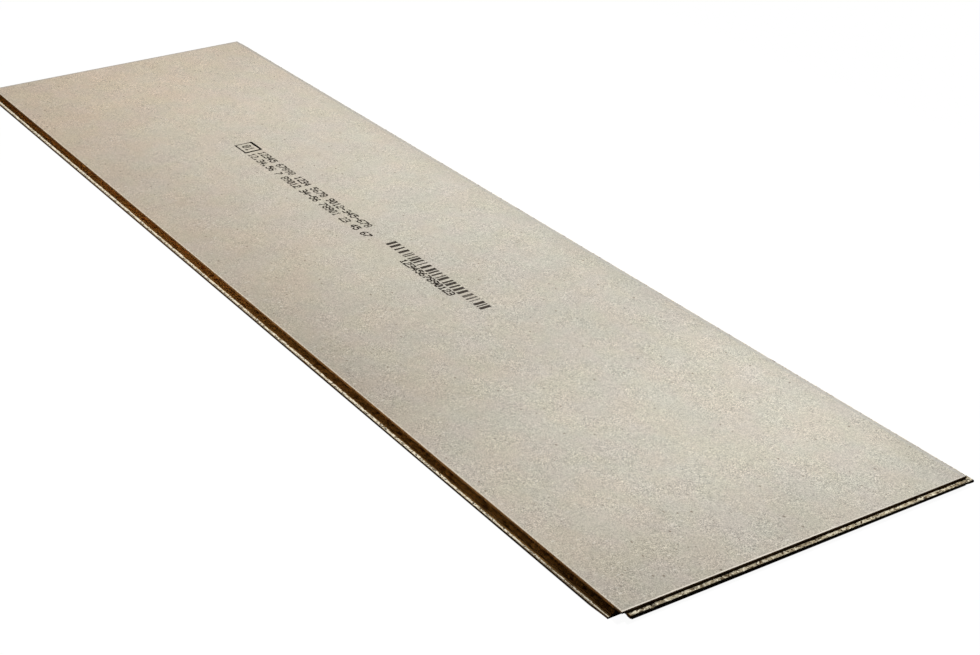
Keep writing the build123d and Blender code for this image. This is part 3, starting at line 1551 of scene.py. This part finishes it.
@dataclass
class InkPrint:
    """Faded marks on the face: lines of plain digits, a plain frame, and a row of bars with digits below."""

    top: float
    dot_radius: float = 0.0019
    dot_sides: int = 8
    dot_jitter: float = 0.15
    dot_sizes: Range = (0.85, 1.12)
    weakest: float = 0.3
    fade_length: float = 0.045
    fade_stretch: float = 2.5
    fade_mean: float = 0.86
    fade_swing: float = 1.1
    fade_jitter: float = 0.1
    fade_slice: float = 209.4
    lines: tuple[PrintedLine, ...] = (
        PrintedLine("12345 67890 1234 5678 9012-345-678", -0.503, 0.0210),
        PrintedLine("12.34.56 7 89012 34-56 78901 23 45 67", -0.5045, -0.0010),
        PrintedLine("1234567890123", 0.1185, -0.0012, 0.0134, 0.0024, 0.0020),
        PrintedLine("01", -0.5545, 0.0100, 0.0160, 0.0026, 0.0026),
    )
    frame_low: Range = (-0.5665, 0.0005)
    frame_dots: tuple[int, int] = (23, 17)
    frame_pitch: float = 0.0022
    heavy: float = 1.6
    bars_start: float = 0.038
    bars_end: float = 0.373
    bars_low: float = 0.0145
    bars_high: float = 0.0362
    bar_widths: tuple[float, ...] = (0.0035, 0.0055, 0.0085)
    gap_widths: tuple[float, ...] = (0.0035, 0.0055, 0.0080)
    seed: int = 5

    def __post_init__(self) -> None:
        """Starts the mesh and the strengths of its faces."""
        self.random = random.Random(self.seed)
        self.shape = bmesh.new()
        self.layer = self.shape.faces.layers.float.new(FadedInk.strength)

    def fade(self, x: float, y: float) -> float:
        """Gives the ink's strength at a place, which drifts along the line.

        Args:
            x: The place along the board.
            y: The place across it.

        Returns:
            The strength, around 1 where the ink is whole.
        """
        place = (x / self.fade_length, y / self.fade_length * self.fade_stretch, self.fade_slice)
        strength = max(self.weakest, self.fade_mean + noise.noise(Vector(place)) * self.fade_swing)
        return strength + self.random.uniform(-self.fade_jitter, self.fade_jitter)

    def patch(self, corners: Sequence[tuple[float, float]], strength: float) -> None:
        """Adds one flat patch of ink between its corners, with that strength."""
        points = [self.shape.verts.new((x, y, self.top)) for x, y in corners]
        self.shape.faces.new(points)[self.layer] = strength

    def dot(self, x: float, y: float, size: float = 1.0) -> None:
        """Adds one round dot, a little off its place.

        Args:
            x: Its place along the board.
            y: Its place across it.
            size: Its size, where 1 is plain.
        """
        x += self.random.uniform(-self.dot_jitter, self.dot_jitter) * self.dot_radius
        y += self.random.uniform(-self.dot_jitter, self.dot_jitter) * self.dot_radius
        radius = self.dot_radius * size * self.random.uniform(*self.dot_sizes)
        turns = [math.tau * i / self.dot_sides for i in range(self.dot_sides)]
        self.patch([(x + radius * math.cos(t), y + radius * math.sin(t)) for t in turns], self.fade(x, y))

    def line(self, line: PrintedLine) -> None:
        """Adds the dots of one line.

        Args:
            line: The line.
        """
        for index, character in enumerate(line.text):
            start = line.start + index * line.advance
            for column, row in Mark.of(character).dots():
                self.dot(start + column * line.column, line.base + row * line.row)

    def rectangle(self) -> None:
        """Adds the plain dotted frame."""
        (across, up), (low_x, low_y) = self.frame_dots, self.frame_low
        for i in range(across):
            for j in range(up):
                if i in (0, across - 1) or j in (0, up - 1):
                    size = self.heavy if i == across - 1 or j == up - 1 else 1.0
                    self.dot(low_x + i * self.frame_pitch, low_y + j * self.frame_pitch, size)

    def bars(self) -> None:
        """Adds bars of random widths, which encode nothing."""
        place = self.bars_start
        while place < self.bars_end - self.bar_widths[0]:
            end = place + min(self.random.choice(self.bar_widths), self.bars_end - place)
            strength = self.fade(place, self.bars_low)
            low, high = self.bars_low, self.bars_high
            self.patch([(place, low), (end, low), (end, high), (place, high)], strength)
            place = end + self.random.choice(self.gap_widths)

    def build(self) -> Piece:
        """Builds the marks as one mesh.

        Returns:
            The piece.
        """
        for line in self.lines:
            self.line(line)
        self.rectangle()
        self.bars()
        piece = Piece("ink_marks", INK_SLOT, [FadedInk().material()])
        piece.fill(self.shape)
        piece.mount()
        return piece


@dataclass(frozen=True)
class PhotoCamera:
    """The photographer's place, worked out from the face's four corners in the picture."""

    place: Place = (2.7741, -1.4605, 1.3975)
    forward: Place = (-0.7598, 0.4709, -0.4483)
    right: Place = (0.5327, 0.8462, -0.0141)
    lens_mm: float = 68.66
    sensor_mm: float = 36.0

    def build(self) -> None:
        """Makes the camera and sets it as the scene's."""
        data = bpy.data.cameras.new("photo_camera")
        data.lens = self.lens_mm
        data.sensor_fit = "HORIZONTAL"
        data.sensor_width = self.sensor_mm
        camera = bpy.data.objects.new("photo_camera", data)
        bpy.context.scene.collection.objects.link(camera)
        back = -Vector(self.forward).normalized()
        up = back.cross(Vector(self.right)).normalized()
        turn = Matrix((up.cross(back), up, back)).transposed().to_4x4()
        camera.matrix_world = Matrix.Translation(self.place) @ turn
        bpy.context.scene.camera = camera


@dataclass(frozen=True)
class Studio:
    """A white floor and plain light from behind the panel."""

    floor_reach: float = 40.0
    floor_glow: float = 0.955
    floor_seen: float = 0.06
    floor_bounce: float = 0.025
    # Painted shadow on the floor: how near black it is and where it reaches under the tongues and lips.
    floor_shadow: float = 0.01
    under_tongue: Ease = Ease(-0.25, 0.36, 0.0035, 0.0017)
    under_start: float = 0.0052
    worn_corner: Ease = Ease(1.145, 1.188, 0.0, 0.0026)
    under_lip: float = 0.0004
    rebate: float = 0.0145
    groove_depth: float = 0.0085
    dark_rim: float = 0.5 * MM

    sky: float = 0.012
    seen_sky: float = 1.0
    white: Colour = (1.0, 1.0, 1.0)
    key_from: Place = (-0.13, 0.55, 1.0)
    key_angle: float = 7.0
    key_strength: float = 2.74
    side_place: Place = (0.25, 1.0, 0.5)
    side_aim: Place = (0.25, 0.2, 0.0)
    side_size: Range = (2.4, 0.4)
    side_power: float = 10.0
    fill_place: Place = (0.25, -2.0, 0.17)
    fill_aim: Place = (0.0, -0.3, 0.0)
    fill_size: Range = (0.3, 0.3)
    fill_power: float = 23.0
    fill_colour: Colour = (1.0, 0.80, 0.55)

    def painted_shadow(self, g: Graph, low: Vector, high: Vector, lip: Vector) -> Field:
        """Gives the painted shadow's mask on the floor: 1 where the panel keeps the light off it, and 0
        around the panel.

        Args:
            g: The graph.
            low: The face's corner between the two groove sides.
            high: The face's corner between the two tongue sides.
            lip: The lips' outer corner.

        Returns:
            The mask.
        """
        along, across, _ = g.axes()
        under_end = high.x + across.ramp(*self.under_tongue)
        to_tongues = g.smaller(under_end - along, high.y - across)
        behind_root = g.smaller(across - low.y - self.groove_depth - self.under_start, along - low.x)
        worn = along.ramp(*self.worn_corner)
        to_lips = g.smaller(across - lip.y - worn, along - lip.x) + self.under_lip
        to_lip_ends = g.smaller(high.x - along, high.y - across) - self.rebate + self.under_lip
        painted_shadow = g.larger(g.smaller(to_tongues, behind_root), g.smaller(to_lips, to_lip_ends))
        return painted_shadow.ramp(0.0, self.dark_rim)

    def floor(self, low: Vector, high: Vector, lip: Vector) -> None:
        """Makes the floor: white, with the panel's cast shadow, and a painted shadow in the gap under the
        panel.

        Args:
            low: The face's corner between the two groove sides.
            high: The face's corner between the two tongue sides.
            lip: The lips' outer corner.
        """
        g = Graph.of_material("white_floor")
        path = g.node("ShaderNodeLightPath", output="Is Camera Ray")
        seen = path + path.output("Is Glossy Ray") + path.output("Is Transmission Ray")
        glow = g.node("ShaderNodeEmission", inputs={"Strength": self.floor_glow})
        shown, bounce, dark = (
            g.node("ShaderNodeBsdfDiffuse", inputs={"Color": grey(level)})
            for level in (self.floor_seen, self.floor_bounce, self.floor_shadow)
        )
        white = g.node("ShaderNodeAddShader", inputs={0: glow, 1: shown})
        # Painted shadow: the floor drawn near black in the gap under the tongues and lips.
        under = g.mixed_shader(self.painted_shadow(g, low, high, lip), white, dark)
        material = g.surface(g.mixed_shader(seen, bounce, under))
        shape = bmesh.new()
        bmesh.ops.create_grid(shape, x_segments=1, y_segments=1, size=self.floor_reach)
        mesh = bpy.data.meshes.new("floor")
        shape.to_mesh(mesh)
        shape.free()
        mesh.materials.append(material)
        floor = bpy.data.objects.new("floor", mesh)
        bpy.context.scene.collection.objects.link(floor)

    def world(self) -> None:
        """Makes the world: dim for the panel, white where it is seen."""
        world = bpy.data.worlds.new("studio")
        bpy.context.scene.world = world
        g = Graph(world)
        seen = g.node("ShaderNodeLightPath", output="Is Camera Ray")
        dim, white = (
            g.node("ShaderNodeBackground", inputs={"Color": grey(1.0), "Strength": strength})
            for strength in (self.sky, self.seen_sky)
        )
        g.surface(g.mixed_shader(seen, dim, white))

    @staticmethod
    def hang(data: bpy.types.Light, place: Place, target: Place) -> None:
        """Hangs a lamp and points it.

        Args:
            data: The lamp's data.
            place: Where it hangs.
            target: What it points at.
        """
        lamp = bpy.data.objects.new(data.name, data)
        lamp.location = place
        lamp.rotation_euler = (Vector(target) - Vector(place)).to_track_quat("-Z", "Y").to_euler()
        bpy.context.scene.collection.objects.link(lamp)

    @staticmethod
    def area(name: str, size: Range, power: float, colour: Colour) -> bpy.types.AreaLight:
        """Makes the data of a rectangular lamp.

        Args:
            name: Its name.
            size: Its width and height.
            power: Its power in watts.
            colour: Its colour.

        Returns:
            The lamp's data.
        """
        data = bpy.data.lights.new(name, "AREA")
        data.shape = "RECTANGLE"
        data.size, data.size_y = size
        data.energy = power
        data.color = colour
        return data

    def build(self, board: DressedBoard) -> None:
        """Makes the floor, the world and the lamps.

        Args:
            board: The board that they are made around.
        """
        self.floor(board.low, board.high, board.outer_low)
        self.world()
        key = bpy.data.lights.new("key", "SUN")
        key.energy = self.key_strength
        key.angle = math.radians(self.key_angle)
        self.hang(key, self.key_from, ORIGIN)
        side = self.area("side", self.side_size, self.side_power, self.white)
        self.hang(side, self.side_place, self.side_aim)
        fill = self.area("fill", self.fill_size, self.fill_power, self.fill_colour)
        self.hang(fill, self.fill_place, self.fill_aim)
        bpy.context.scene.view_settings.view_transform = "Standard"


def main() -> None:
    """Builds the stage and every piece of the panel, in order."""
    logging.basicConfig(level=logging.INFO, format="%(message)s")
    PhotoCamera().build()
    board = DressedBoard()
    Studio().build(board)
    board.build()
    TornFlakes(board).build()
    InkPrint(board.top).build()


if __name__ == "__main__":
    main()
